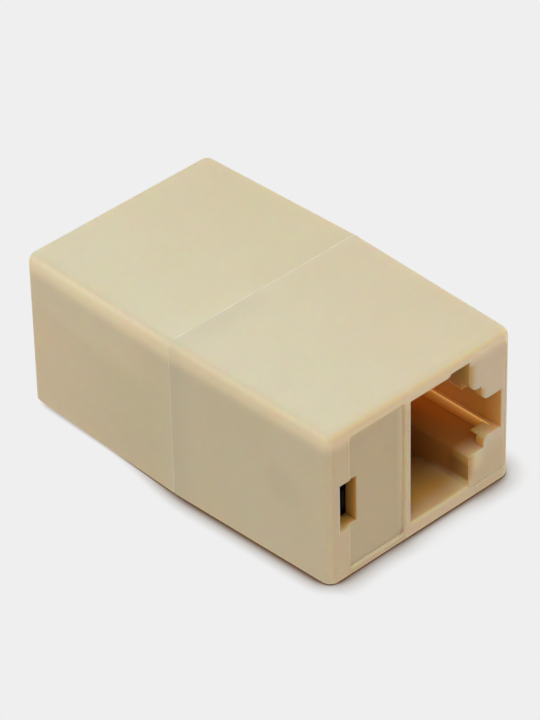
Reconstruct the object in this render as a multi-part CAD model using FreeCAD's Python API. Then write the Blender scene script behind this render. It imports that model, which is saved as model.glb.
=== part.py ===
import FreeCAD, Part
import math
import os
from FreeCAD import Vector

# Inline coupler for 8-way modular plugs.  Two identical moulded half shells meet at mid-length.
# Inside, two identical contact carriers close on each other along a slanted face, with eight
# formed contacts between them.  +X points out of one socket, +Y across the body and +Z up.
# Every outline below is worked in a frame at the body's centre and lifted to its base at the end.

# ---- socket, as the 8-way plug needs it (mm) ----
jack_width = 11.86          # along Z, across the eight contacts
jack_height = 6.55          # along Y, from the contact side to the first step
latch_notch_width = 6.1     # first step, for the plug's latch shoulders
latch_notch_step = 1.65
latch_channel_width = 3.65  # second step, for the latch's finger tab
latch_channel_step = 1.92
latch_channel_rise = -0.22  # the channel sits this far off the socket's middle
latch_stop_depth = 0.95     # front stops; the steps' corners are rounded only this far in
latch_stop_relief = 1.43    # how much wider the notch is behind the stops
stop_lip_length = 0.58      # thin lip on the lower stop, behind it, that the plug's latch snaps past
stop_lip_thickness = 0.15
plug_depth = 11.2           # mouth to the comb that the plug's nose meets

# ---- half shells ----
body_length = 34.0
body_width = 19.79          # at the end face; the carrier's bay takes what the socket leaves
side_wall = 1.1
partition = 0.55            # thin wall between that bay and the socket's mouth
partition_depth = 2.4
latch_wall = 1.02
face_wall = 1.22            # top and bottom walls, at the end face
end_wall = 1.5
side_draft = 0.36           # lean of each side over one half shell
face_draft = 0.25           # lean of the top and of the bottom over one half shell
edge_radius = 0.9           # every outer edge but those of the base and the seam
base_edge_radius = 0.2
mouth_floor_radius = 0.3
panel_depth = 0.3
panel_margin = 2.15         # outer side to the recessed panel
panel_height = 12.65
panel_rise = -0.22
panel_corner = 0.25
set_back_depth = 0.1        # the steps' faces lie this far behind the rim
set_back_side = 0.4         # the set-back reaches this far beyond the channel
set_back_height = 12.4
set_back_corner = 0.6
window_width = 2.05
window_height = 4.5
window_rise = -0.19
window_step = 0.23          # the window's top is this much lower where it opens into the panel
catch_height = 0.7          # ledge that the carrier's latch arm snaps over
catch_length = 1.5
catch_setback = 6.0         # end face to the ledge's holding face
lip_length = 1.0            # lap joint at the seam
lip_thickness = 0.5
lip_gap = 0.05
seam_bevel = 0.12

# ---- corner radii of the socket's steps, at the mouth ----
upper_step_radius = 1.0
upper_stop_reach = 0.3      # the upper stop reaches this much further in than the lower one
upper_stop_radius = 0.8
lower_step_radius = 0.4
lower_stop_radius = 0.5
channel_edge_radius = 0.12  # the channel's lower edge behind the stop
ceiling_lead_rise = 0.25    # the ceiling is raised in the lead, beside the first step
ceiling_lead_width = 2.4

# ---- contact carriers ----
block_length = 6.0          # middle block, both carriers together
carrier_gap = 0.1           # carrier to shell, and carrier to carrier where they slide
parting_gap = 0.04          # the two carriers' closed faces
nose_height = 10.0          # along Z
arm_thickness = 0.8
arm_height = 4.0
arm_flex_gap = 1.0
hook_length = 1.2
hook_lead = 1.4
rail_height = 1.65          # guide rail on the nose, seen through the window
rail_rise = -1.12
rail_length = 2.4
comb_side_gap = 0.3         # comb to the socket's latch side
comb_slot_length = 5.4      # the comb's slot, down from the contact's free end

# ---- contacts, stamped from strip and bent ----
contact_count = 8
contact_pitch = 1.016
strip_width = 0.46          # along Z
strip_thickness = 0.35
strip_slot_gap = 0.12
run_depth = 1.6             # carrier's socket face to the contact's back run
hairpin_radius = 0.65
hairpin_gap = 0.3           # hairpin to the partition's rear face
bend_radius = 0.8
cross_run = 2.2             # where the contact starts to cross, from the middle
free_end_rise = 4.0         # free end above the socket's contact side
free_end_depth = 1.8        # free end behind the comb's front

# ---- worked out from the sizes above ----
half_length = body_length / 2
contact_bay = (body_width - side_wall - partition - jack_height
               - latch_notch_step - latch_channel_step - latch_wall)
end_height = jack_width + 2 * face_wall
seam_width = body_width + 2 * side_draft
seam_height = end_height + 2 * face_draft
chamber_half = body_width / 2 - side_wall
bay_side = -body_width / 2 + side_wall + contact_bay
contact_side = bay_side + partition
notch_side = contact_side + jack_height
stop_side = notch_side + latch_notch_step
channel_side = stop_side + latch_channel_step
relief_side = stop_side + latch_stop_relief
block_half = block_length / 2
bay_end = half_length - end_wall
partition_end = half_length - partition_depth
comb_front = half_length - plug_depth
block_width_half = chamber_half - carrier_gap
block_height = jack_width - 2 * carrier_gap
nose_face = contact_side - carrier_gap
nose_tip = bay_end - carrier_gap
arm_outer = -chamber_half + catch_height + carrier_gap
nose_back = arm_outer + arm_thickness + arm_flex_gap
catch_face = half_length - catch_setback
run_offset = -nose_face + run_depth
slot_width = strip_width + 2 * strip_slot_gap
hairpin_tip = partition_end - hairpin_gap
OVERCUT = 1.0               # how far a cutting form runs past what it cuts
TOUCH = 0.01
SAME = 1e-6                 # points closer than this are one
ALONG = 0.9                 # an edge runs along an axis from this share of its length


def block(x_span, y_span, z_span):
    """A box from its low and high limits along each axis."""
    low = Vector(x_span[0], y_span[0], z_span[0])
    size = [span[1] - span[0] for span in (x_span, y_span, z_span)]
    return Part.makeBox(size[0], size[1], size[2], low)


def centred(height, middle=0.0):
    """The low and high limits of a length centred on a middle."""
    return (middle - height / 2, middle + height / 2)


def half_turn(shape):
    """The shape turned half a turn about the vertical axis, as the twin piece lies."""
    twin = shape.copy()
    twin.rotate(Vector(0, 0, 0), Vector(0, 0, 1), 180)
    return twin


def rounded_loop(corners):
    """A closed wire through corners given as (point, radius), with each radius as a true arc."""
    count = len(corners)
    starts = []
    ends = []
    mids = []
    for index in range(count):
        corner, radius = corners[index]
        before = (corners[index - 1][0] - corner).normalize()
        after = (corners[(index + 1) % count][0] - corner).normalize()
        if radius <= 0:
            starts.append(corner)
            ends.append(corner)
            mids.append(None)
            continue
        half_angle = before.getAngle(after) / 2
        reach = radius / math.tan(half_angle)
        bisector = (before + after).normalize()
        middle = corner + bisector * (radius / math.sin(half_angle) - radius)
        starts.append(corner + before * reach)
        ends.append(corner + after * reach)
        mids.append(middle)
    edges = []
    for index in range(count):
        if mids[index] is not None:
            edges.append(Part.Arc(starts[index], mids[index], ends[index]).toShape())
        following = starts[(index + 1) % count]
        if (following - ends[index]).Length > SAME:
            edges.append(Part.makeLine(ends[index], following))
    return Part.Wire(edges)


def along_x(points, x_span):
    """A solid of constant section along X; points are (y, z, corner radius)."""
    corners = [(Vector(x_span[0], y, z), radius) for y, z, radius in points]
    face = Part.Face(rounded_loop(corners))
    return face.extrude(Vector(x_span[1] - x_span[0], 0, 0))


def along_z(points, z_span):
    """A solid of constant section along Z; points are (x, y, corner radius)."""
    corners = [(Vector(x, y, z_span[0]), radius) for x, y, radius in points]
    face = Part.Face(rounded_loop(corners))
    return face.extrude(Vector(0, 0, z_span[1] - z_span[0]))


def edges_where(shape, test):
    """The shape's edges whose middle point and unit direction pass the test."""
    found = []
    for edge in shape.Edges:
        first = edge.Vertexes[0].Point
        last = edge.Vertexes[-1].Point
        if (last - first).Length < SAME:
            continue
        if test((first + last) * 0.5, (last - first).normalize()):
            found.append(edge)
    return found


# ---- half shell ----

def shell_outside():
    """The drafted outer form of one half, from the seam to the end face, with its edges rounded."""
    def upper_edge(point, direction):
        lies_along = abs(direction.x) > ALONG and point.z > 0
        upright = point.x > half_length - TOUCH and abs(direction.z) > ALONG
        across = point.x > half_length - TOUCH and abs(direction.y) > ALONG and point.z > 0
        return lies_along or upright or across

    def base_edge(point, direction):
        at_base = point.z < -end_height / 2 + TOUCH
        return at_base and point.x > TOUCH and abs(direction.z) < 1 - ALONG

    body = Part.makeWedge(-seam_width / 2, 0, -seam_height / 2, -end_height / 2, -body_width / 2,
                          seam_width / 2, half_length, seam_height / 2, end_height / 2, body_width / 2)
    body.rotate(Vector(0, 0, 0), Vector(0, 0, 1), -90)
    body = body.makeFillet(edge_radius, edges_where(body, upper_edge))
    return body.makeFillet(base_edge_radius, edges_where(body, base_edge))


def step_outline(low_stop, high_stop, step_radius, high_radius, low_radius):
    """The socket's stepped outline across X, with the notch's depth below and above the channel."""
    wide = jack_width / 2
    notch = latch_notch_width / 2
    channel_low, channel_high = centred(latch_channel_width, latch_channel_rise)
    return [(contact_side, -wide, 0), (notch_side, -wide, 0),
            (notch_side, -notch, lower_step_radius), (low_stop, -notch, 0),
            (low_stop, channel_low, low_radius), (channel_side, channel_low, 0),
            (channel_side, channel_high, 0), (high_stop, channel_high, high_radius),
            (high_stop, notch, 0), (notch_side, notch, step_radius),
            (notch_side, wide, 0), (contact_side, wide, 0)]


def ceiling_lead(lead_end):
    """The raised part of the socket's ceiling in the lead, beside the first step."""
    low = jack_width / 2 - TOUCH
    high = jack_width / 2 + ceiling_lead_rise
    start = notch_side - ceiling_lead_width
    outline = [(start, low, 0), (notch_side, low, 0), (notch_side, high, 0),
               (start + ceiling_lead_rise, high, 0)]
    return along_x(outline, (lead_end, half_length + OVERCUT))


def stop_lip():
    """The thin lip that carries the channel's lower side on behind the lower stop."""
    top = latch_channel_rise - latch_channel_width / 2
    back = half_length - latch_stop_depth
    return block((back - stop_lip_length, back + TOUCH), (stop_side, relief_side + OVERCUT),
                 (top - stop_lip_thickness, top))


def socket_hollow():
    """What the moulding's core leaves: the rounded mouth, then the notch widened behind the stops."""
    mouth = step_outline(stop_side, stop_side - upper_stop_reach, upper_step_radius,
                         upper_stop_radius, lower_stop_radius)
    relief = step_outline(relief_side, relief_side, 0, 0, channel_edge_radius)
    lead_end = half_length - latch_stop_depth
    hollow = along_x(mouth, (lead_end, half_length + OVERCUT))
    hollow = hollow.fuse(ceiling_lead(lead_end))
    hollow = hollow.fuse(along_x(relief, (block_half, lead_end)))
    return hollow.cut(stop_lip())


def bay_hollow():
    """The room for the carrier: the middle chamber and the bay beside the socket."""
    tall = centred(jack_width)
    chamber = block((-OVERCUT, block_half + carrier_gap), (-chamber_half, chamber_half), tall)
    bay = block((0, bay_end), (-chamber_half, bay_side), tall)
    joining = block((0, partition_end), (-chamber_half, contact_side + TOUCH), tall)
    return chamber.fuse([bay, joining])


def panel_recess():
    """The shallow sunk panel in the end face beside the socket."""
    low, high = centred(panel_height, panel_rise)
    left = -body_width / 2 + panel_margin
    outline = [(left, low, panel_corner), (bay_side, low, panel_corner),
               (bay_side, high, panel_corner), (left, high, panel_corner)]
    return along_x(outline, (half_length - panel_depth, half_length + OVERCUT))


def step_set_back():
    """The shallow set-back of the steps' faces behind the end face's rim."""
    low, high = centred(set_back_height)
    outer = channel_side + set_back_side
    outline = [(notch_side, low, set_back_corner), (outer, low, set_back_corner),
               (outer, high, set_back_corner), (notch_side, high, 0)]
    return along_x(outline, (half_length - set_back_depth, half_length + OVERCUT))


def window():
    """The opening in the end wall that the core for the catch ledge passes through."""
    left = -chamber_half
    through = (bay_end - OVERCUT, half_length + OVERCUT)
    low, high = centred(window_height, window_rise)
    beside_panel = block(through, (left, -body_width / 2 + panel_margin), (low, high))
    return beside_panel.fuse(block(through, (left, left + window_width), (low, high - window_step)))


def catch_ledge():
    """The ledge inside the side wall that holds the carrier's hook, with a ramp for the hook."""
    root = -chamber_half - TOUCH
    top = -chamber_half + catch_height
    foot = catch_face - catch_length
    outline = [(foot, root, 0), (catch_face, root, 0), (catch_face, top, 0),
               (foot + catch_height, top, 0)]
    return along_z(outline, centred(window_height, window_rise))


def seam_ring(half_width, half_height, x_span, y_low):
    """A rectangular frame just outside the chamber, kept only above y_low."""
    outer = block(x_span, (y_low, half_width), (-half_height, half_height))
    inner = block((x_span[0] - OVERCUT, x_span[1] + OVERCUT), (y_low - OVERCUT, chamber_half),
                  centred(jack_width))
    return outer.cut(inner)


def shell():
    """One half shell, with its socket towards +X."""
    body = shell_outside()
    body = body.cut(socket_hollow())

    def floor_edge(point, direction):
        at_mouth = point.x > half_length - TOUCH and abs(point.z + jack_width / 2) < TOUCH
        return at_mouth and abs(direction.y) > ALONG and contact_side < point.y < notch_side

    body = body.makeFillet(mouth_floor_radius, edges_where(body, floor_edge))
    body = body.cut(bay_hollow())
    body = body.fuse(catch_ledge())
    body = body.cut([panel_recess(), step_set_back(), window()])
    lip = seam_ring(chamber_half + lip_thickness, jack_width / 2 + lip_thickness,
                    (-lip_length, lip_length), 2 * lip_gap)
    rebate = half_turn(seam_ring(chamber_half + lip_thickness + lip_gap,
                                 jack_width / 2 + lip_thickness + lip_gap,
                                 (-lip_length - lip_gap, OVERCUT), 0))
    body = body.cut(rebate)
    body = body.fuse(lip)

    def rim_edge(point, direction):
        outside = abs(point.y) > seam_width / 2 - TOUCH or abs(point.z) > seam_height / 2 - TOUCH
        return abs(point.x) < TOUCH and abs(direction.x) < 1 - ALONG and outside

    body = body.makeChamfer(seam_bevel, edges_where(body, rim_edge))
    return body.removeSplitter()


# ---- contacts and the slots they lie in ----

def contact_height(index):
    """The height of one contact's plane, counted from the bottom contact."""
    return (index - (contact_count - 1) / 2) * contact_pitch


def strip_corners():
    """The contact's corners in its own plane, from one free end to the other, with bend radii."""
    end = Vector(comb_front - free_end_depth, contact_side + free_end_rise, 0)
    centre = Vector(hairpin_tip - strip_thickness / 2 - hairpin_radius,
                    -run_offset + hairpin_radius, 0)
    reach = centre - end
    slope = math.atan2(reach.y, reach.x) + math.asin(hairpin_radius / reach.Length)
    corner_x = end.x + (-run_offset - end.y) / math.tan(slope)
    half = [(end, 0), (Vector(corner_x, -run_offset, 0), hairpin_radius),
            (Vector(cross_run, -run_offset, 0), bend_radius)]
    other = [(Vector(-point.x, -point.y, 0), radius) for point, radius in reversed(half)]
    return half + other


def strip_side(corners, side):
    """One edge of the bent strip: its middle line moved sideways by half the thickness."""
    offset = side * strip_thickness / 2
    edge = []
    for index, (corner, radius) in enumerate(corners):
        ways = []
        for low, high in ((index - 1, index), (index, index + 1)):
            if 0 <= low and high < len(corners):
                ways.append((corners[high][0] - corners[low][0]).normalize())
        normals = [Vector(-way.y, way.x, 0) for way in ways]
        if len(ways) == 1:
            edge.append((corner + normals[0] * offset, 0))
            continue
        lean = normals[0] + normals[1]
        shift = lean * (2 * offset / lean.Length ** 2)
        turn = ways[0].x * ways[1].y - ways[0].y * ways[1].x
        edge.append((corner + shift, radius - offset * math.copysign(1, turn)))
    return edge


def contact(index):
    """One stamped contact, bent from a free end in one socket to a free end in the other."""
    corners = strip_corners()
    outline = strip_side(corners, 1) + strip_side(corners, -1)[::-1]
    points = [(corner.x, corner.y, radius) for corner, radius in outline]
    return along_z(points, centred(strip_width, contact_height(index)))


def contact_slots():
    """The slots for every contact: nose, crossing and comb, the same after a half turn."""
    deep = strip_thickness / 2 + strip_slot_gap
    end_low = contact_side + free_end_rise - comb_slot_length
    slots = []
    for index in range(contact_count):
        tall = centred(slot_width, contact_height(index))
        nose = block((block_half - TOUCH, hairpin_tip + strip_slot_gap),
                     (-run_offset - deep, contact_side + OVERCUT), tall)
        run = block((cross_run - deep, block_half + OVERCUT),
                    (-run_offset - deep, -run_offset + deep), tall)
        comb = block((comb_front - free_end_depth - 2 * strip_slot_gap, comb_front + OVERCUT),
                     (end_low, contact_side + free_end_rise + deep), tall)
        length = 2 * math.hypot(cross_run, run_offset)
        crossing = block(centred(length + deep), centred(2 * deep), tall)
        crossing.rotate(Vector(0, 0, 0), Vector(0, 0, 1),
                        math.degrees(math.atan2(-run_offset, cross_run)))
        for piece in (nose, run, comb):
            slots += [piece, half_turn(piece)]
        slots.append(crossing)
    return slots


# ---- contact carrier ----

def latch_arm():
    """The springy arm whose hook snaps behind the ledge in the half shell."""
    inner = arm_outer + arm_thickness
    tip = -chamber_half + carrier_gap
    start = catch_face + carrier_gap
    outline = [(block_half - TOUCH, inner, 0), (start + hook_length + hook_lead, inner, 0),
               (start + hook_length + hook_lead, arm_outer + arm_thickness / 2, 0),
               (start + hook_length, tip, 0), (start, tip, 0), (start, arm_outer, 0),
               (block_half - TOUCH, arm_outer, 0)]
    return along_z(outline, centred(arm_height, window_rise))


def carrier():
    """One contact carrier: its nose lies beside the +X socket and its comb ends the other one."""
    seam = parting_gap / 2
    comb_low = -notch_side + comb_side_gap
    middle = [(-block_half, -block_width_half, 0), (block_half, -block_width_half, 0),
              (block_half, -run_offset - seam, 0), (cross_run - seam, -run_offset - seam, 0),
              (-cross_run - seam, run_offset - seam, 0), (-block_half, run_offset - seam, 0),
              (-block_half, -nose_face - carrier_gap, 0), (-comb_front, -nose_face - carrier_gap, 0),
              (-comb_front, comb_low, 0), (-block_half, comb_low, 0)]
    nose = [(block_half - TOUCH, nose_back, 0), (nose_tip, nose_back, 0),
            (nose_tip, bay_side - carrier_gap, 0),
            (partition_end - carrier_gap, bay_side - carrier_gap, 0),
            (partition_end - carrier_gap, nose_face, 0), (block_half + carrier_gap, nose_face, 0),
            (block_half + carrier_gap, -run_offset - seam, 0),
            (block_half - TOUCH, -run_offset - seam, 0)]
    rail = block((nose_tip - rail_length, nose_tip), (nose_back - arm_thickness, nose_back + TOUCH),
                 centred(rail_height, rail_rise))
    body = along_z(middle, centred(block_height))
    body = body.fuse([along_z(nose, centred(nose_height)), rail, latch_arm()])
    return body.cut(contact_slots()).removeSplitter()


def build():
    """Every piece by name, standing on its base."""
    pieces = {"shell_front": shell(), "carrier_front": carrier()}
    pieces["shell_rear"] = half_turn(pieces["shell_front"])
    pieces["carrier_rear"] = half_turn(pieces["carrier_front"])
    for index in range(contact_count):
        pieces["contact_%d" % (index + 1)] = contact(index)
    for piece in pieces.values():
        piece.translate(Vector(0, 0, seam_height / 2))
    return pieces


os.makedirs("parts", exist_ok=True)
for name, piece in build().items():
    piece.exportStep("parts/%s.step" % name)
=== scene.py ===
import math

import bpy
import numpy as np
from mathutils import Matrix, Vector


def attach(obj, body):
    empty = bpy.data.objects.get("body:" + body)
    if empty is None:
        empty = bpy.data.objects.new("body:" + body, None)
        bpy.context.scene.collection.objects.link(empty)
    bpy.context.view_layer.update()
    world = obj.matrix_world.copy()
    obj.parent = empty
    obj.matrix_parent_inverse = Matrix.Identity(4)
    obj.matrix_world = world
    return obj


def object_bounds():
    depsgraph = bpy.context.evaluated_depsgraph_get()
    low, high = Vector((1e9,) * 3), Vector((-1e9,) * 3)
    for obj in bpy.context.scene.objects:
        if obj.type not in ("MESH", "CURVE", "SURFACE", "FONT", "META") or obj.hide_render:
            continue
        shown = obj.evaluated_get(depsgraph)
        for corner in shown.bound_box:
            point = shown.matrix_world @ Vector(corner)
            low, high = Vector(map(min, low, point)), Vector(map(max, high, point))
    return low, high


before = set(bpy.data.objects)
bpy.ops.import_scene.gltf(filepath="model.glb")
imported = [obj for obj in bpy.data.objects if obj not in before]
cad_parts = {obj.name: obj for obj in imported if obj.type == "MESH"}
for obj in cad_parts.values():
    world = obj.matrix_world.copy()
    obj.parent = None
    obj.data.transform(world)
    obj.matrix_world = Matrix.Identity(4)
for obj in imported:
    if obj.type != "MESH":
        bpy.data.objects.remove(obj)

MM = 0.001
MM_IN_METRE = 1000.0
cad_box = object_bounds()

# Places in mm in a half's own frame: along from mid-length, across towards the latch side, and up.
END = round(cad_box[1][0] / MM, 3)            # end face
MIDDLE = round(cad_box[1][2] / MM / 2, 1)     # half the height
CONTACT_SIDE = -1.27    # the socket's edge beside the panel
PANEL_SIDE = -1.77      # the panel's edge beside the socket
PANEL_OUTER = -7.8      # the panel's other edge
WINDOW_OUTER = -8.84    # the window's outer edge
NOTCH_SIDE = 5.3        # the first step, for the latch's shoulders
STOP_SIDE = 6.66        # the upper stop's inner edge
LIP_SIDE = 8.43         # the channel's lower edge, where the thin lip runs
LIP_TOP = 5.35          # up to the top of that lip
SOCKET_LOW, SOCKET_HIGH = (2.0, -1.3, 1.1), (16.85, 9.3, 13.7)
WINDOW_LOW, WINDOW_HIGH = (2.0, -8.9, 4.7), (16.999, -6.7, 9.7)

WHITE, BLACK = (1.0, 1.0, 1.0, 1.0), (0.0, 0.0, 0.0, 1.0)

# ---- node helpers ----


class Board:
    """Adds and wires nodes in one tree."""

    def __init__(self, tree):
        self.tree = tree

    def add(self, kind, settings=None, **sockets):
        """A node with its settings, and its input sockets given by name with spaces as underscores."""
        node = self.tree.nodes.new("ShaderNode" + kind)
        for key, value in (settings or {}).items():
            setattr(node, key, value)
        return self.feed_all(node, sockets)

    def use(self, group, **sockets):
        """A node that runs a group, with its input sockets given in the same way."""
        node = self.tree.nodes.new("ShaderNodeGroup")
        node.node_tree = group
        return self.feed_all(node, sockets)

    def feed_all(self, node, sockets):
        for key, value in sockets.items():
            self.feed(node.inputs[key.replace("_", " ")], value)
        return node

    def feed(self, socket, value):
        """Links an output socket, or sets a constant."""
        if isinstance(value, bpy.types.NodeSocket):
            self.tree.links.new(value, socket)
        else:
            socket.default_value = value

    def math(self, operation, first, second=0.5, clamp=False):
        node = self.add("Math", {"operation": operation, "use_clamp": clamp})
        self.feed(node.inputs[0], first)
        self.feed(node.inputs[1], second)
        return node.outputs[0]

    def vector(self, operation, first, second=(0, 0, 0)):
        node = self.add("VectorMath", {"operation": operation})
        self.feed(node.inputs[0], first)
        self.feed(node.inputs[1], second)
        return node.outputs["Value" if operation in ("DOT_PRODUCT", "DISTANCE") else "Vector"]

    def mix(self, factor, low, high):
        """Colour mix."""
        node = self.add("Mix", {"data_type": "RGBA"})
        for index, item in ((0, factor), (6, low), (7, high)):
            self.feed(node.inputs[index], item)
        return node.outputs[2]

    def ramp(self, value, low, high, at_low=0.0, at_high=1.0, smooth=True):
        """Maps low..high to at_low..at_high, clamped."""
        node = self.add("MapRange", {"interpolation_type": "SMOOTHSTEP" if smooth else "LINEAR"})
        for index, item in enumerate((value, low, high, at_low, at_high)):
            self.feed(node.inputs[index], item)
        return node.outputs[0]

    def fall(self, value, low, high, at_high=0.0):
        """1 up to low, then smoothly down to at_high at high."""
        return self.ramp(value, low, high, 1.0, at_high)

    def product(self, first, *others):
        """Two or more values multiplied."""
        for other in others:
            first = self.math("MULTIPLY", first, other)
        return first

    def near(self, value, place, core, reach):
        """1 within core of a place, and 0 past reach."""
        return self.fall(self.math("ABSOLUTE", self.math("SUBTRACT", value, place)), core, reach)

    def split(self, vector):
        """A vector's three parts."""
        return self.add("SeparateXYZ", Vector=vector).outputs

    def normal(self):
        """The surface's direction."""
        return self.add("NewGeometry").outputs["Normal"]


def start_group(name, inputs, outputs):
    """A new shader node group: its board, its inputs' values and its output sockets.

    Each input is (name, kind, default) and each output (name, kind).
    """
    tree = bpy.data.node_groups.new(name, "ShaderNodeTree")
    for label, kind, default in inputs:
        socket = tree.interface.new_socket(label, in_out="INPUT", socket_type="NodeSocket" + kind)
        if default is not None:
            socket.default_value = default
    for label, kind in outputs:
        tree.interface.new_socket(label, in_out="OUTPUT", socket_type="NodeSocket" + kind)
    given = tree.nodes.new("NodeGroupInput").outputs
    result = tree.nodes.new("NodeGroupOutput").inputs
    return Board(tree), given, result


def colour(red, green, blue):
    """A colour socket's value from 0..255 display values."""
    def linear(value):
        value = value / 255
        return value / 12.92 if value <= 0.04045 else ((value + 0.055) / 1.055) ** 2.4
    return (linear(red), linear(green), linear(blue), 1.0)


# ---- shared effects ----


def make_mottle():
    """Slow cloudy variation, as resin flow leaves in a moulding: two noise scales, centred on 0."""
    inputs = [("Point", "Vector", None), ("Size mm", "Float", 6.0), ("Amount", "Float", 0.05)]
    board, given, result = start_group("resin_mottle", inputs, [("Offset", "Float")])
    scale = board.math("DIVIDE", MM_IN_METRE, given["Size mm"])
    broad = board.add("TexNoise", Vector=given["Point"], Scale=scale, Detail=2.0)
    fine_scale = board.math("MULTIPLY", scale, 4.3)
    fine = board.add("TexNoise", Vector=given["Point"], Scale=fine_scale, Detail=2.0)
    total = board.math("ADD", board.math("MULTIPLY", broad.outputs["Fac"], 0.7),
                       board.math("MULTIPLY", fine.outputs["Fac"], 0.3))
    board.feed(result["Offset"], board.product(board.math("SUBTRACT", total, 0.5), given["Amount"]))
    return board.tree


def make_grain():
    """Fine skin of a satin moulded or plated face: a height from two small noise scales."""
    inputs = [("Point", "Vector", None), ("Size mm", "Float", 0.2)]
    board, given, result = start_group("fine_grain", inputs, [("Height", "Float")])
    scale = board.math("DIVIDE", MM_IN_METRE, given["Size mm"])
    near = board.add("TexNoise", Vector=given["Point"], Scale=scale, Detail=3.0, Roughness=0.6)
    wide_scale = board.math("DIVIDE", scale, 6.0)
    wide = board.add("TexNoise", Vector=given["Point"], Scale=wide_scale, Detail=1.0)
    total = board.math("ADD", near.outputs["Fac"], board.math("MULTIPLY", wide.outputs["Fac"], 0.8))
    board.feed(result["Height"], total)
    return board.tree


def make_specks():
    """Sparse dust specks: the cores of a few of the cells of a Voronoi pattern."""
    inputs = [("Point", "Vector", None), ("Spacing mm", "Float", 1.5), ("Share", "Float", 0.3),
              ("Radius", "Float", 0.05)]
    board, given, result = start_group("dust_specks", inputs, [("Mask", "Float")])
    scale = board.math("DIVIDE", MM_IN_METRE, given["Spacing mm"])
    cells = board.add("TexVoronoi", Vector=given["Point"], Scale=scale)
    core = board.fall(cells.outputs["Distance"], 0.0, given["Radius"])
    chosen = board.add("SeparateColor", Color=cells.outputs["Color"])
    kept = board.math("LESS_THAN", chosen.outputs[0], given["Share"])
    board.feed(result["Mask"], board.product(core, kept))
    return board.tree


def make_spot():
    """One soft round mark at a place, in millimetres."""
    inputs = [("Point", "Vector", None), ("Centre mm", "Vector", None), ("Radius mm", "Float", 0.2)]
    board, given, result = start_group("single_mark", inputs, [("Mask", "Float")])
    centre = board.vector("MULTIPLY", given["Centre mm"], (MM, MM, MM))
    distance = board.vector("DISTANCE", given["Point"], centre)
    radius = board.math("MULTIPLY", given["Radius mm"], MM)
    board.feed(result["Mask"], board.fall(distance, board.math("MULTIPLY", radius, 0.4), radius))
    return board.tree


def make_half_frame():
    """A point as its own half sees it: distance along from mid-length, across, and up, in mm.

    The rear half is the front half turned half a turn about the vertical, so both share one frame.
    """
    board, given, result = start_group("half_frame", [("Point", "Vector", None)], [("Place", "Vector")])
    x, y, z = board.split(board.vector("MULTIPLY", given["Point"], (MM_IN_METRE,) * 3))
    across = board.product(y, board.math("SIGN", x))
    place = board.add("CombineXYZ", X=board.math("ABSOLUTE", x), Y=across, Z=z)
    board.feed(result["Place"], place.outputs[0])
    return board.tree


def make_opening_depth():
    """Depth in mm behind the end face, inside a box of the half's frame, and 0 outside it."""
    inputs = [("Place", "Vector", None), ("Low", "Vector", None), ("High", "Vector", None)]
    board, given, result = start_group("opening_depth", inputs, [("Depth", "Float")])
    above = board.vector("SUBTRACT", given["Place"], given["Low"])
    below = board.vector("SUBTRACT", given["High"], given["Place"])
    room = board.split(board.vector("MINIMUM", above, below))
    least = board.math("MINIMUM", board.math("MINIMUM", room[0], room[1]), room[2])
    along = board.split(given["Place"])[0]
    depth = board.math("MAXIMUM", board.math("SUBTRACT", END, along), 0.0)
    board.feed(result["Depth"], board.product(depth, board.math("GREATER_THAN", least, 0.0)))
    return board.tree


def make_depth_shade(name, tints, deepest):
    """The painted shade that the ivory's colour takes on with depth in an opening, where less light
    reaches.

    It runs straight from the first tint at the mouth to the second a third of the way in,
    and from there to the third at the deepest place, given in mm.
    """
    board, given, result = start_group(name, [("Depth", "Float", 0.0)], [("Tint", "Color")])
    ramp = board.add("ValToRGB", Fac=board.math("DIVIDE", given["Depth"], deepest))
    elements = ramp.color_ramp.elements
    mouth, middle, end = tints
    elements[0].color, elements[-1].color = (*mouth, 1.0), (*end, 1.0)
    elements.new(1.0 / 3.0).color = (*middle, 1.0)
    board.feed(result["Tint"], ramp.outputs["Color"])
    return board.tree


def make_corner_depth():
    """How far a point lies in a narrow corner: 0 on an open face, 1 deep between walls."""
    inputs = [("Reach mm", "Float", 9.0), ("Open", "Float", 0.6), ("Closed", "Float", 0.15)]
    board, given, result = start_group("corner_depth", inputs, [("Mask", "Float")])
    reach = board.math("MULTIPLY", given["Reach mm"], MM)
    seen = board.add("AmbientOcclusion", {"samples": 8, "only_local": True}, Distance=reach)
    board.feed(result["Mask"], board.fall(seen.outputs["AO"], given["Closed"], given["Open"]))
    return board.tree


def make_rounding():
    """1 where an upward-facing surface turns between two square faces, 0 on the faces themselves; it places
    the painted highlight on rounded edges.
    """
    board, _, result = start_group("rounded_edge", [], [("Mask", "Float")])
    normal = board.normal()
    parts = board.split(board.vector("ABSOLUTE", normal))
    largest = board.math("MAXIMUM", board.math("MAXIMUM", parts[0], parts[1]), parts[2])
    upward = board.ramp(board.split(normal)[2], 0.1, 0.4)
    board.feed(result["Mask"], board.product(board.fall(largest, 0.74, 0.99), upward))
    return board.tree


# ---- the ivory's colour over its outer faces ----


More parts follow.
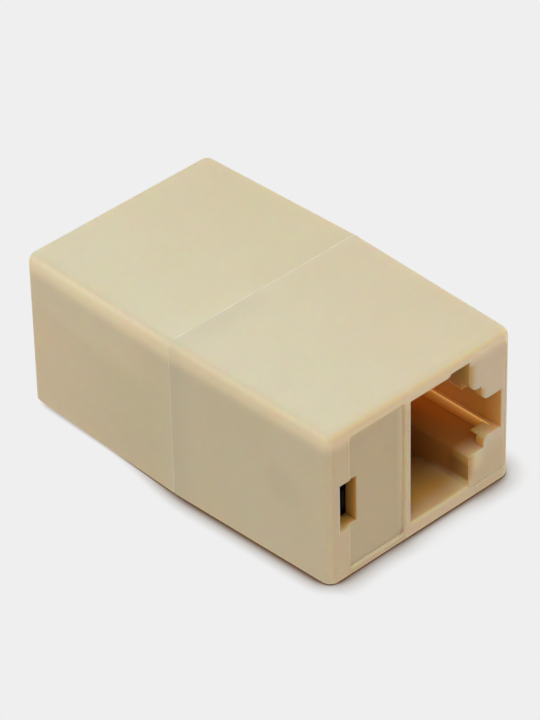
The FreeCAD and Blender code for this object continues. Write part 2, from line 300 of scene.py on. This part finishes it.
def body_light_and_seam_tones(board, x, y, z, facing):
    """Painted light: the top paler and bluer towards its -y side and the rear half's side paler, as the
    light falls on them; then the front half a little darker and the rear half a little paler near the seam,
    with a paler line just behind it.
    """
    on_top = board.ramp(facing[2], 0.8, 0.95)
    on_side = board.ramp(facing[1], -0.5, -0.9)
    drift = board.mix(board.ramp(y, -10.0, 8.0, smooth=False), (1.01, 1.05, 1.07, 1.0),
                      (0.98, 0.97, 0.94, 1.0))
    tint = board.mix(on_top, WHITE, drift)
    high = board.product(board.ramp(x, 0.0, -7.0), board.ramp(z, 7.5, 11.0))
    share = board.math("MAXIMUM", board.math("MULTIPLY", board.ramp(x, -4.0, -15.0), 0.6), high)
    tint = board.mix(board.product(share, on_side), tint, (1.17, 1.1, 1.13, 1.0))
    part = board.math("MAXIMUM", board.product(on_top, board.fall(y, -2.5, 0.5)), on_side)
    for half, reach, step in ((1, 3.0, (0.95, 0.95, 0.95)), (-1, 3.0, (1.03, 1.03, 1.03)),
                              (-1, 0.35, (1.04, 1.05, 1.06))):
        own_half = board.math("GREATER_THAN", board.math("MULTIPLY", x, half), 0.0)
        at_seam = board.product(part, board.fall(x, 0.0, half * reach), own_half)
        tint = board.mix(at_seam, tint, board.vector("MULTIPLY", tint, step))
    return tint


def painted_panel_shade(board, tint, beside, z, ends):
    """Painted shade: the end faces a little darker and pinker, as less light falls on them, and the panel
    greyer, where the wall is thin and set back into shade.
    """
    tint = board.mix(ends, tint, (1.01, 0.95, 0.95, 1.0))
    thin = board.product(board.ramp(beside, -8.3, -7.6, 0.4, 1.0), board.fall(beside, -1.8, -1.7),
                         board.fall(z, 13.2, 13.6, 0.3))
    return board.mix(board.product(ends, thin), tint, (0.885, 0.835, 0.81, 1.0))


def painted_block_light(board, tint, beside, z, ends):
    """Painted light and shade on the faces of the blocks on the latch side: darker low down, paler higher
    up, and the lower one lit from the socket.
    """
    latch_side = board.product(ends, board.ramp(beside, 5.2, 6.2))
    latch_light_and_shade = board.mix(board.ramp(z, 3.2, 5.2), (0.96, 0.89, 0.87, 1.0), (1.03, 0.99, 1.05, 1.0))
    tint = board.mix(latch_side, tint, latch_light_and_shade)
    lit = board.product(board.ramp(z, 2.2, 3.4), board.fall(z, 4.6, 5.0), board.fall(beside, 5.9, 7.5))
    return board.mix(board.product(latch_side, lit), tint, (1.1, 1.11, 1.0, 1.0))


def painted_socket_edge_light(board, tint, beside, z, at_socket):
    """Painted light and shade at the socket's mouth: amber shade along the edges of the first step and the
    stops, a pale bluish highlight on the socket's rim, and an olive shade line beside it.
    """
    step_edge = board.product(board.ramp(beside, 5.2, 5.25), board.fall(beside, 5.35, 5.8))
    tint = board.mix(board.product(at_socket, step_edge), tint, (0.99, 0.88, 0.72, 1.0))
    for start, fade, low, high in ((NOTCH_SIDE, 1.1, 1.6, 13.2), (STOP_SIDE, 0.7, 8.5, 10.3)):
        slope = board.ramp(beside, start, start + fade, 1.0, 0.0, smooth=False)
        stop_edge = board.product(slope, slope, board.ramp(beside, start - 0.1, start - 0.05),
                                  board.ramp(z, low, low + 1.0), board.fall(z, high - 0.3, high))
        tint = board.mix(board.product(at_socket, stop_edge), tint, (0.86, 0.53, 0.28, 1.0))
    rim = board.near(beside, CONTACT_SIDE, 0.02, 0.1)
    tint = board.mix(board.product(at_socket, rim), tint, (1.15, 1.18, 1.35, 1.0))
    olive = board.near(beside, PANEL_SIDE, 0.03, 0.1)
    return board.mix(board.product(at_socket, olive), tint, (0.98, 0.9, 0.77, 1.0))


def painted_edge_highlights(board, tint, beside, z, ends):
    """Painted highlights: the pale line down the panel's outer edge, and the bluish one beside the window.
    """
    line = board.product(board.near(beside, PANEL_OUTER, 0.0, 0.08), board.ramp(z, 1.5, 2.5, 0.0, 0.6))
    tint = board.mix(board.product(ends, line), tint, (1.12, 1.12, 1.18, 1.0))
    blue = board.product(board.near(beside, WINDOW_OUTER, 0.0, 0.09), board.near(z, 7.2, 2.0, 2.3))
    return board.mix(board.product(ends, blue), tint, (1.3, 1.35, 1.6, 1.0))


def make_painted_face_light():
    """Painted light and shade over the ivory's outer faces, from how the light falls on them and where the
    wall behind them differs.
    """
    board, given, result = start_group("painted_face_shading", [("Point", "Vector", None)], [("Tint", "Color")])
    x, y, z = board.split(board.vector("MULTIPLY", given["Point"], (MM_IN_METRE,) * 3))
    facing = board.split(board.normal())
    ends = board.ramp(board.math("ABSOLUTE", facing[0]), 0.8, 0.95)
    beside = board.split(board.use(HALF_FRAME, Point=given["Point"]).outputs["Place"])[1]
    at_socket = board.product(ends, board.product(board.ramp(z, 1.3, 1.7), board.fall(z, 12.8, 13.2)))
    tint = body_light_and_seam_tones(board, x, y, z, facing)
    tint = painted_panel_shade(board, tint, beside, z, ends)
    tint = painted_block_light(board, tint, beside, z, ends)
    tint = painted_socket_edge_light(board, tint, beside, z, at_socket)
    tint = painted_edge_highlights(board, tint, beside, z, ends)
    board.feed(result["Tint"], tint)
    return board.tree


# ---- painted glow: light that comes through the ivory, given as emission ----
# Each of these gives a mask and the light's colour there.


def latch_glow(board, depth, across, rise):
    """Behind the latch steps, growing with depth."""
    on_wall = board.ramp(across, 6.6, 7.0)
    on_step = board.product(board.ramp(across, 6.3, 8.4, 0.2, 1.4, smooth=False),
                            board.ramp(depth, 2.0, 5.0, 0.55, 1.0), board.ramp(across, 5.5, 5.9))
    mask = board.product(board.ramp(depth, 0.0, 0.2), board.ramp(rise, 0.3, 0.7, on_wall, on_step))
    light = board.mix(board.ramp(depth, 1.5, 9.0), (0.045, 0.006, 0.0, 1.0), (0.1, 0.02, 0.001, 1.0))
    return mask, light


def channel_edge_glow(board, depth, across, up):
    """Along the channel's lower edge."""
    mask = board.product(board.near(across, LIP_SIDE, 0.0, 0.16), board.near(up, LIP_TOP, 0.0, 0.2),
                         board.ramp(depth, 0.8, 1.3))
    return mask, (0.2, 0.11, 0.03, 1.0)


def lip_glow(board, depth, across, up):
    """On the thin lip behind the lower stop."""
    mask = board.product(board.ramp(across, 8.3, 8.36), board.fall(across, 8.44, 8.5),
                         board.ramp(depth, 0.8, 1.3), board.fall(depth, 3.5, 8.0, 0.65),
                         board.ramp(up, 4.25, LIP_TOP), board.fall(up, 5.38, 5.45))
    light = board.mix(board.ramp(up, 4.4, 5.3), (0.2, 0.05, 0.0, 1.0), (0.18, 0.095, 0.025, 1.0))
    return mask, light


def block_glow(board, depth, across, up):
    """On the upper block's inner wall."""
    mask = board.product(board.near(across, NOTCH_SIDE, 0.1, 0.15), board.ramp(up, 8.5, 9.0),
                         board.ramp(depth, 0.8, 2.5))
    return mask, (0.1, 0.045, 0.018, 1.0)


def foot_glow(board, depth, across, up, rise):
    """At the foot of the lower block's wall and on the floor beside it."""
    mask = board.product(board.ramp(across, 3.4, 5.3), board.fall(across, 5.35, 5.45),
                         board.fall(up, 1.3, 2.1), board.fall(rise, 0.3, 0.7, 0.6),
                         board.ramp(depth, 0.0, 0.1), board.fall(depth, 2.8, 4.8))
    light = board.mix(board.ramp(depth, 0.5, 2.5), (0.155, 0.165, 0.09, 1.0),
                      (0.067, 0.046, 0.029, 1.0))
    return mask, light


def panel_side_glow(board, along, across, up, end_face):
    """On the panel beside the socket, where only the partition lies between."""
    mask = board.product(board.ramp(across, -2.55, -1.85), board.fall(across, -1.78, -1.72),
                         board.ramp(along, 16.6, 16.65), board.fall(along, 16.72, 16.8),
                         board.ramp(up, 1.2, 1.6), board.ramp(up, 2.0, 9.0, 0.55, 0.95),
                         board.fall(up, 12.9, 13.2), end_face)
    return mask, (0.115, 0.11, 0.073, 1.0)


def far_side_glow(board, along, across, end_face):
    """On the end face's narrow strip beyond the blocks."""
    mask = board.product(board.ramp(across, 8.95, 9.25), board.fall(across, 9.35, 9.5),
                         board.product(board.ramp(along, 16.8, 16.85), end_face))
    return mask, (0.05, 0.055, 0.045, 1.0)


def top_edge_glow(board, depth, across, up, rise, ahead, end_face):
    """Along the rounded top edges, less above the socket."""
    outside = board.math("LESS_THAN", depth, 0.01)
    shaded = board.product(board.ramp(across, 5.0, 5.5), board.ramp(up, 13.1, 13.3, 0.8, 0.0))
    shaded = board.product(board.math("MAXIMUM", shaded, 0.25), end_face)
    mask = board.product(board.ramp(up, 12.5, 13.7), board.fall(rise, 0.55, 0.97),
                         board.fall(board.product(ahead, rise), 0.0, 0.5, 0.45),
                         board.math("SUBTRACT", 1.0, shaded), outside)
    return mask, (0.125, 0.1, 0.056, 1.0)


def make_wall_glow():
    """Painted glow, as emission, for the light that comes through the ivory, added up over the places where
    it shows.
    """
    board, given, result = start_group("wall_glow", [("Place", "Vector", None), ("Depth", "Float", 0.0)],
                                       [("Glow", "Color")])
    depth = given["Depth"]
    along, across, up = board.split(given["Place"])
    ahead, _, rise = board.split(board.vector("ABSOLUTE", board.normal()))
    end_face = board.ramp(ahead, 0.8, 0.95)
    glow = BLACK[:3]
    for mask, light in (latch_glow(board, depth, across, rise),
                        channel_edge_glow(board, depth, across, up),
                        panel_side_glow(board, along, across, up, end_face),
                        far_side_glow(board, along, across, end_face),
                        foot_glow(board, depth, across, up, rise),
                        lip_glow(board, depth, across, up),
                        block_glow(board, depth, across, up),
                        top_edge_glow(board, depth, across, up, rise, ahead, end_face)):
        glow = board.vector("ADD", glow, board.mix(mask, BLACK, light))
    board.feed(result["Glow"], glow)
    return board.tree


# Painted shade: light reaches the socket's inside mostly through the ivory, so its colour is painted
# deeper, towards amber and brown, with depth.
CREAM, HONEY, AMBER = (1.1, 1.0, 0.8), (1.0, 0.8, 0.4), (0.9, 0.6, 0.2)
BROWN, DARK = (0.6, 0.3, 0.1), (0.4, 0.2, 0.1)
SOCKET_DEPTH, WINDOW_DEPTH = 6.0, 2.0   # mm from the end face to the last tint
PAINTED_DEPTH_SHADES = {
    "socket_floor_depth_shade": ((CREAM, AMBER, DARK), SOCKET_DEPTH),
    "contact_wall_depth_shade": ((HONEY, BROWN, BROWN), SOCKET_DEPTH),
    "step_depth_shade": ((CREAM, BROWN, BROWN), SOCKET_DEPTH),
    "latch_wall_depth_shade": ((HONEY, AMBER, HONEY), SOCKET_DEPTH),
    "channel_floor_depth_shade": ((CREAM, AMBER, CREAM), SOCKET_DEPTH),
    "window_depth_shade": ((CREAM, AMBER, DARK), WINDOW_DEPTH),
}

MOTTLE = make_mottle()
HALF_FRAME = make_half_frame()
OPENING_DEPTH = make_opening_depth()
DEPTH_SHADE_GROUPS = {name: make_depth_shade(name, *tint) for name, tint in PAINTED_DEPTH_SHADES.items()}
CORNER_DEPTH = make_corner_depth()
ROUNDING = make_rounding()
PAINTED_FACE_LIGHT = make_painted_face_light()
WALL_GLOW = make_wall_glow()
GRAIN = make_grain()
SPECKS = make_specks()
SPOT = make_spot()

# ---- materials ----


def start_material(name):
    """A material with its Principled shader, its board and the object point."""
    material = bpy.data.materials.new(name)
    material.use_nodes = True
    tree = material.node_tree
    tree.nodes.clear()
    board = Board(tree)
    shader = board.add("BsdfPrincipled")
    board.feed(board.add("OutputMaterial").inputs["Surface"], shader.outputs[0])
    return material, board, shader, board.add("TexCoord").outputs["Object"]


def feed_skin(board, shader, point, size, strength, height, rounding, samples=4):
    """Fine grain as a bump, over edges that are softly rounded; size, height and rounding in mm."""
    grain = board.use(GRAIN, Point=point, Size_mm=size).outputs["Height"]
    soft_edge = board.add("Bevel", {"samples": samples}, Radius=rounding * MM)
    skin = board.add("Bump", Height=grain, Strength=strength, Distance=height * MM,
                     Normal=soft_edge.outputs["Normal"])
    board.feed(shader.inputs["Normal"], skin.outputs["Normal"])


def feed_roughness(board, shader, drift, share, middle):
    """A roughness that wanders about its middle with the drift."""
    board.feed(shader.inputs["Roughness"], board.math("ADD", board.math("MULTIPLY", drift, share), middle))


# Pale moulding crumbs, and the painted shade of the carrier behind the side wall.
LIGHT_MARK, CARRIER_SHADE_MARK = colour(252, 249, 240), colour(120, 84, 48)
# Where moulding leaves crumbs and flecks: how many, and the two corners of the stretch in mm.
CRUMBS = [(5, (END, 8.6, 2.0), (END, 9.2, 13.0)),      # up the end face, beside the socket
          (3, (END, -9.0, 0.9), (END, 8.5, 1.4)),      # along the end face's lower edge
          (3, (8.0, -6.0, 14.5), (16.5, 6.0, 14.6))]   # on the top


def strewn_marks():
    """Small pale crumbs at random places in each stretch: centre mm, radius mm, strength, colour."""
    draw = np.random.default_rng(5)
    marks = []
    for count, low, high in CRUMBS:
        for _ in range(count):
            centre = draw.uniform(low, high).tolist()
            marks.append((centre, float(draw.uniform(0.08, 0.15)), 0.6, LIGHT_MARK))
    return marks


# Painted shade: the black carrier shows faintly through the side wall as one broad soft dark patch.
MARKS = strewn_marks() + [((12.0, -10.0, MIDDLE), 2.4, 0.05, CARRIER_SHADE_MARK)]


def opening_shades(board, place, normal, depth):
    """Painted shade in the socket, by zone and depth, and in the window, deepening the ivory towards amber
    and brown; white elsewhere.
    """
    def zone(name, zone_depth=depth):
        return board.use(DEPTH_SHADE_GROUPS[name], Depth=zone_depth).outputs["Tint"]

    _, across, up = board.split(place)
    facing_up = board.ramp(board.split(normal)[2], 0.3, 0.7)
    wall = board.mix(board.ramp(across, 5.35, 6.8), zone("contact_wall_depth_shade"), zone("latch_wall_depth_shade"))
    # Painted shade on the low part of the walls, a little way in.
    shade = board.product(board.ramp(up, 1.8, 2.1), board.fall(up, 3.2, 3.9), board.fall(depth, 1.4, 2.8))
    wall = board.mix(shade, wall, board.vector("MULTIPLY", wall, (0.72, 0.64, 0.62)))
    ledge = board.mix(board.ramp(up, 4.5, 5.2), zone("step_depth_shade"), zone("channel_floor_depth_shade"))
    low = board.mix(board.ramp(across, 5.2, 5.35), zone("socket_floor_depth_shade"), ledge)
    # Painted shade on the socket's floor near the contact side, past the mouth.
    contact_side_shade = board.product(board.fall(across, -0.8, 2.2), board.ramp(depth, 0.6, 1.2))
    low = board.mix(contact_side_shade, low, board.vector("MULTIPLY", low, (0.84, 0.82, 0.76)))
    inside = board.math("GREATER_THAN", depth, 0.0)
    tint = board.mix(inside, WHITE, board.mix(facing_up, wall, low))
    window = board.use(OPENING_DEPTH, Place=place, Low=WINDOW_LOW, High=WINDOW_HIGH).outputs["Depth"]
    inside = board.math("GREATER_THAN", window, board.ramp(facing_up, 0.0, 1.0, 0.31, 0.02))
    return board.mix(inside, tint, zone("window_depth_shade", window))


def ivory_plastic(name, body, thin, patch=7.0, milky=True):
    """Ivory moulding: body and thin are its plain colour and its paler drift, in patches of a size in mm.

    Milky plastic lets light in; it fades out in the last millimetre before the seam, where the
    other half would cut the light off.
    """
    material, board, shader, point = start_material(name)
    drift = board.use(MOTTLE, Point=point, Size_mm=patch, Amount=1.6).outputs["Offset"]
    tone = board.mix(board.math("ADD", drift, 0.5, clamp=True), body, thin)
    normal = board.normal()
    ahead = board.split(board.vector("ABSOLUTE", normal))[0]
    # Painted highlight on the upward-facing rounded edges, warmer where they turn towards the ends.
    edge_highlight_tone = board.mix(board.ramp(ahead, 0.5, 0.9), colour(240, 236, 210), colour(238, 222, 174))
    turned = board.use(ROUNDING).outputs["Mask"]
    tone = board.mix(board.math("MULTIPLY", turned, 0.9), tone, edge_highlight_tone)
    # Painted shade: a little darker and browner deep in narrow corners.
    corner = board.use(CORNER_DEPTH, Reach_mm=1.0, Open=0.85, Closed=0.35).outputs["Mask"]
    tone = board.mix(board.math("MULTIPLY", corner, 0.08), tone, colour(176, 130, 80))
    tone = board.vector("MULTIPLY", tone, board.use(PAINTED_FACE_LIGHT, Point=point).outputs["Tint"])
    place = board.use(HALF_FRAME, Point=point).outputs["Place"]
    depth = board.use(OPENING_DEPTH, Place=place, Low=SOCKET_LOW, High=SOCKET_HIGH).outputs["Depth"]
    tone = board.vector("MULTIPLY", tone, opening_shades(board, place, normal, depth))
    for centre, radius, strength, mark in MARKS:
        spot = board.use(SPOT, Point=point, Centre_mm=centre, Radius_mm=radius).outputs["Mask"]
        tone = board.mix(board.math("MULTIPLY", spot, strength), tone, mark)
    pale = board.use(SPECKS, Point=point, Spacing_mm=2.3, Share=0.16, Radius=0.045).outputs["Mask"]
    tone = board.mix(board.math("MULTIPLY", pale, 0.35), tone, colour(250, 246, 235))
    board.feed(shader.inputs["Base Color"], tone)
    glow = board.use(WALL_GLOW, Place=place, Depth=depth).outputs["Glow"]
    board.feed(shader.inputs["Emission Color"], glow)
    shader.inputs["Emission Strength"].default_value = 1.0
    material.cycles.emission_sampling = "NONE"   # the glow is faint, so it needs no light rays
    feed_skin(board, shader, point, size=0.25, strength=0.12, height=0.02, rounding=0.12, samples=6)
    feed_roughness(board, shader, drift, 0.1, 0.45)
    shader.inputs["IOR"].default_value = 1.46
    shader.inputs["Specular IOR Level"].default_value = 0.3
    if milky:
        from_seam = board.math("ABSOLUTE", board.split(point)[0])
        board.feed(shader.inputs["Subsurface Weight"], board.ramp(from_seam, 0.1 * MM, 0.9 * MM))
        shader.inputs["Subsurface Radius"].default_value = (1.0, 0.45, 0.15)
        shader.inputs["Subsurface Scale"].default_value = 1.0 * MM
    return material


def black_plastic():
    """Satin black moulding of the contact carriers."""
    material, board, shader, point = start_material("carrier_black")
    drift = board.use(MOTTLE, Point=point, Size_mm=3.0, Amount=1.0).outputs["Offset"]
    tone = board.mix(board.math("ADD", drift, 0.5, clamp=True), colour(8, 7, 7), colour(21, 19, 18))
    board.feed(shader.inputs["Base Color"], tone)
    feed_skin(board, shader, point, size=0.12, strength=0.2, height=0.02, rounding=0.08)
    feed_roughness(board, shader, drift, 0.2, 0.42)
    return material


def gold_plating():
    """Gold over nickel on the stamped contacts, with grain drawn out along them."""
    material, board, shader, point = start_material("contact_gold")
    drift = board.use(MOTTLE, Point=point, Size_mm=1.5, Amount=1.0).outputs["Offset"]
    tone = board.mix(board.math("ADD", drift, 0.5, clamp=True), colour(214, 168, 84), colour(240, 205, 128))
    board.feed(shader.inputs["Base Color"], tone)
    shader.inputs["Metallic"].default_value = 1.0
    stretched = board.add("Mapping", Vector=point, Scale=(0.08, 1.0, 1.0)).outputs[0]
    feed_skin(board, shader, stretched, size=0.03, strength=0.15, height=0.01, rounding=0.05)
    feed_roughness(board, shader, drift, 0.2, 0.28)
    return material


FINISHES = {
    "shell_front": ivory_plastic("ivory_front", colour(234, 226, 199), colour(238, 232, 208)),
    "shell_rear": ivory_plastic("ivory_rear", colour(233, 226, 197), colour(237, 231, 205)),
    "bead": ivory_plastic("ivory_bead", colour(231, 222, 196), colour(255, 252, 238), 2.2, milky=False),
    "carrier": black_plastic(),
    "contact": gold_plating(),
}

for name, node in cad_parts.items():
    finish = FINISHES.get(name) or FINISHES[name.split("_")[0]]
    node.data.materials.clear()
    node.data.materials.append(finish)

# ---- weld bead in the seam ----

SEAM_HALF_WIDTH = 10.255   # mm


def seam_path(count):
    """Points and outward normals round the body at mid-length, evenly spaced along the outline.

    The outline is a rectangle with rounded corners: each corner is an arc about its own centre,
    and the straight sides join one arc's end to the next arc's start.
    """
    half_width, half_height = SEAM_HALF_WIDTH * MM, MIDDLE * MM
    corners = []
    for start, side, top, radius in ((-90, 1, -1, 0.2), (0, 1, 1, 0.9), (90, -1, 1, 0.9),
                                     (180, -1, -1, 0.2)):
        angle = np.radians(np.linspace(start, start + 90, 40))
        way = np.stack([np.cos(angle), np.sin(angle)], axis=1)
        centre = np.array([side * (half_width - radius * MM), top * (half_height - radius * MM)])
        corners.append((centre + way * radius * MM, way))
    points = np.concatenate([item[0] for item in corners] + [corners[0][0][:1]])
    ways = np.concatenate([item[1] for item in corners] + [corners[0][1][:1]])
    run = np.concatenate([[0], np.cumsum(np.linalg.norm(np.diff(points, axis=0), axis=1))])
    even = np.linspace(0, run[-1], count, endpoint=False)
    place = np.stack([np.interp(even, run, points[:, axis]) for axis in (0, 1)], axis=1)
    normal = np.stack([np.interp(even, run, ways[:, axis]) for axis in (0, 1)], axis=1)
    return place, normal / np.linalg.norm(normal, axis=1, keepdims=True), even


def weld_bead():
    """The fused bead in the seam's groove.

    A flat oval profile is carried round the outline: across is a cosine of the profile angle times
    the half width, and depth below the surface is the bead's middle depth less a sine of that
    angle times its half thickness.  The width and the crown wander slowly along the path.
    """
    around, across = 900, 12
    place, normal, run = seam_path(around)
    turn = np.linspace(0, 2 * math.pi, across, endpoint=False)
    wander = (0.5 * np.sin(run / (1.9 * MM)) + 0.3 * np.sin(run / (0.77 * MM) + 1.3)
              + 0.2 * np.sin(run / (0.31 * MM) + 0.4))[:, None]
    half = (0.15 + 0.02 * wander) * MM
    middle = (0.072 - 0.004 * wander) * MM
    thick = 0.06 * MM
    along = half * np.cos(turn)[None, :]
    depth = middle - thick * np.sin(turn)[None, :]
    spot = place[:, None, :] - normal[:, None, :] * depth[:, :, None]
    vertices = np.stack([along, spot[:, :, 0], spot[:, :, 1] + MIDDLE * MM], axis=2).reshape(-1, 3)
    rows, columns = np.meshgrid(np.arange(around), np.arange(across), indexing="ij")
    ahead, beside = (rows + 1) % around, (columns + 1) % across
    faces = np.stack([rows * across + columns, rows * across + beside,
                      ahead * across + beside, ahead * across + columns], axis=2).reshape(-1, 4)
    bead = put_surface("seam_bead", vertices, faces, FINISHES["bead"])
    bead.visible_shadow = bead.visible_diffuse = False
    return bead


def put_surface(name, vertices, faces, finish):
    """A smooth mesh piece from arrays of points and faces, riding on the coupler."""
    mesh = bpy.data.meshes.new(name)
    mesh.from_pydata(vertices.tolist(), [], faces.tolist())
    mesh.polygons.foreach_set("use_smooth", np.ones(len(faces), dtype=bool))
    mesh.materials.append(finish)
    piece = bpy.data.objects.new(name, mesh)
    bpy.context.collection.objects.link(piece)
    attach(piece, "root")
    return piece


weld_bead()

# ---- floor, light and camera ----

# The contact shadow's colours, from where the floor is half hidden to where it lies open.
SHADOW_DEEP, SHADOW_EDGE, FLOOR_WHITE = (100, 70, 45), (200, 195, 190), (239, 239, 239)
HALF_LEAN = 0.25 / END   # the underside of each half rises this much per unit of length


def make_floor():
    """A pale plane that touches the underside of the front half; it glows evenly, with a painted contact
    shadow where it is half hidden.
    """
    side = 1.5
    outline = ((-side, -side), (side, -side), (side, side), (-side, side))
    corners = [(x, y, x * HALF_LEAN) for x, y in outline]
    mesh = bpy.data.meshes.new("floor")
    mesh.from_pydata(corners, [], [(0, 1, 2, 3)])
    floor = bpy.data.objects.new("floor", mesh)
    bpy.context.collection.objects.link(floor)
    material = bpy.data.materials.new("floor_white")
    material.use_nodes = True
    material.node_tree.nodes.clear()
    board = Board(material.node_tree)
    x, y, _ = board.split(board.add("TexCoord").outputs["Object"])
    shadow_reach = board.ramp(y, -10.3 * MM, -9.3 * MM, 1.75 * MM, 2.6 * MM)
    near = board.add("AmbientOcclusion", {"samples": 24}, Distance=shadow_reach)
    lifted = board.ramp(x, -9 * MM, 2 * MM, 0.45, 0.0)
    openness = board.math("ADD", near.outputs["AO"], lifted, clamp=True)
    shadow = board.add("ValToRGB", Fac=openness)
    elements = shadow.color_ramp.elements
    elements[0].position, elements[-1].position = 0.5, 0.95
    elements[0].color, elements[-1].color = colour(*SHADOW_DEEP), colour(*FLOOR_WHITE)
    elements.new(0.7).color = colour(*SHADOW_EDGE)
    lights = (0.56, 0.49, 0.4, 1.0)   # what the floor throws back on the coupler
    to_camera = board.add("LightPath").outputs["Is Camera Ray"]
    seen = board.mix(to_camera, lights, shadow.outputs["Color"])
    glow = board.add("Emission", Color=seen, Strength=1.0)
    board.feed(board.add("OutputMaterial").inputs["Surface"], glow.outputs[0])
    mesh.materials.append(material)
    return floor


def make_world():
    """Soft light from above that falls off towards the horizon."""
    world = bpy.data.worlds.new("studio")
    bpy.context.scene.world = world
    world.use_nodes = True
    world.node_tree.nodes.clear()
    board = Board(world.node_tree)
    direction = board.add("TexCoord").outputs["Generated"]
    share = board.ramp(board.split(direction)[2], 0.05, 0.85)
    front = board.ramp(board.vector("DOT_PRODUCT", direction, (1.0, 0.0, 0.0)), -0.2, 0.9)
    right = board.ramp(board.vector("DOT_PRODUCT", direction, (0.0, 1.0, 0.0)), -0.1, 0.9)
    low = board.mix(front, (0.3, 0.26, 0.21, 1.0), (0.12, 0.05, 0.02, 1.0))
    low = board.mix(right, low, (0.72, 0.6, 0.45, 1.0))
    light = board.mix(share, low, (0.93, 0.9, 0.86, 1.0))
    to_camera = board.add("LightPath").outputs["Is Camera Ray"]
    glow = board.add("Background", Color=board.mix(to_camera, light, colour(*FLOOR_WHITE)), Strength=1.0)
    board.feed(board.add("OutputWorld").inputs["Surface"], glow.outputs[0])


def make_camera():
    """The camera looks down at the front half's corner, from its contact side."""
    azimuth, elevation, roll = (math.radians(value) for value in (-43.23, 36.9, -1.32))
    distance, aside, above = 333.2 * MM, 0.25 * MM, 0.19 * MM
    middle = Vector((0, 0, MIDDLE * MM))
    back = Vector((math.cos(elevation) * math.cos(azimuth), math.cos(elevation) * math.sin(azimuth),
                   math.sin(elevation)))
    right = Vector((-math.sin(azimuth), math.cos(azimuth), 0))
    up = back.cross(right)
    right, up = (math.cos(roll) * right + math.sin(roll) * up,
                 math.cos(roll) * up - math.sin(roll) * right)
    data = bpy.data.cameras.new("camera")
    data.sensor_width = 36.0
    data.lens = 212.5
    data.clip_start, data.clip_end = 0.01, 10.0
    camera = bpy.data.objects.new("camera", data)
    bpy.context.collection.objects.link(camera)
    place = Matrix((right, up, back)).transposed().to_4x4()
    place.translation = middle + back * distance + right * aside + up * above
    camera.matrix_world = place
    bpy.context.scene.camera = camera


make_floor()
make_world()
make_camera()
bpy.context.scene.view_settings.view_transform = "Standard"
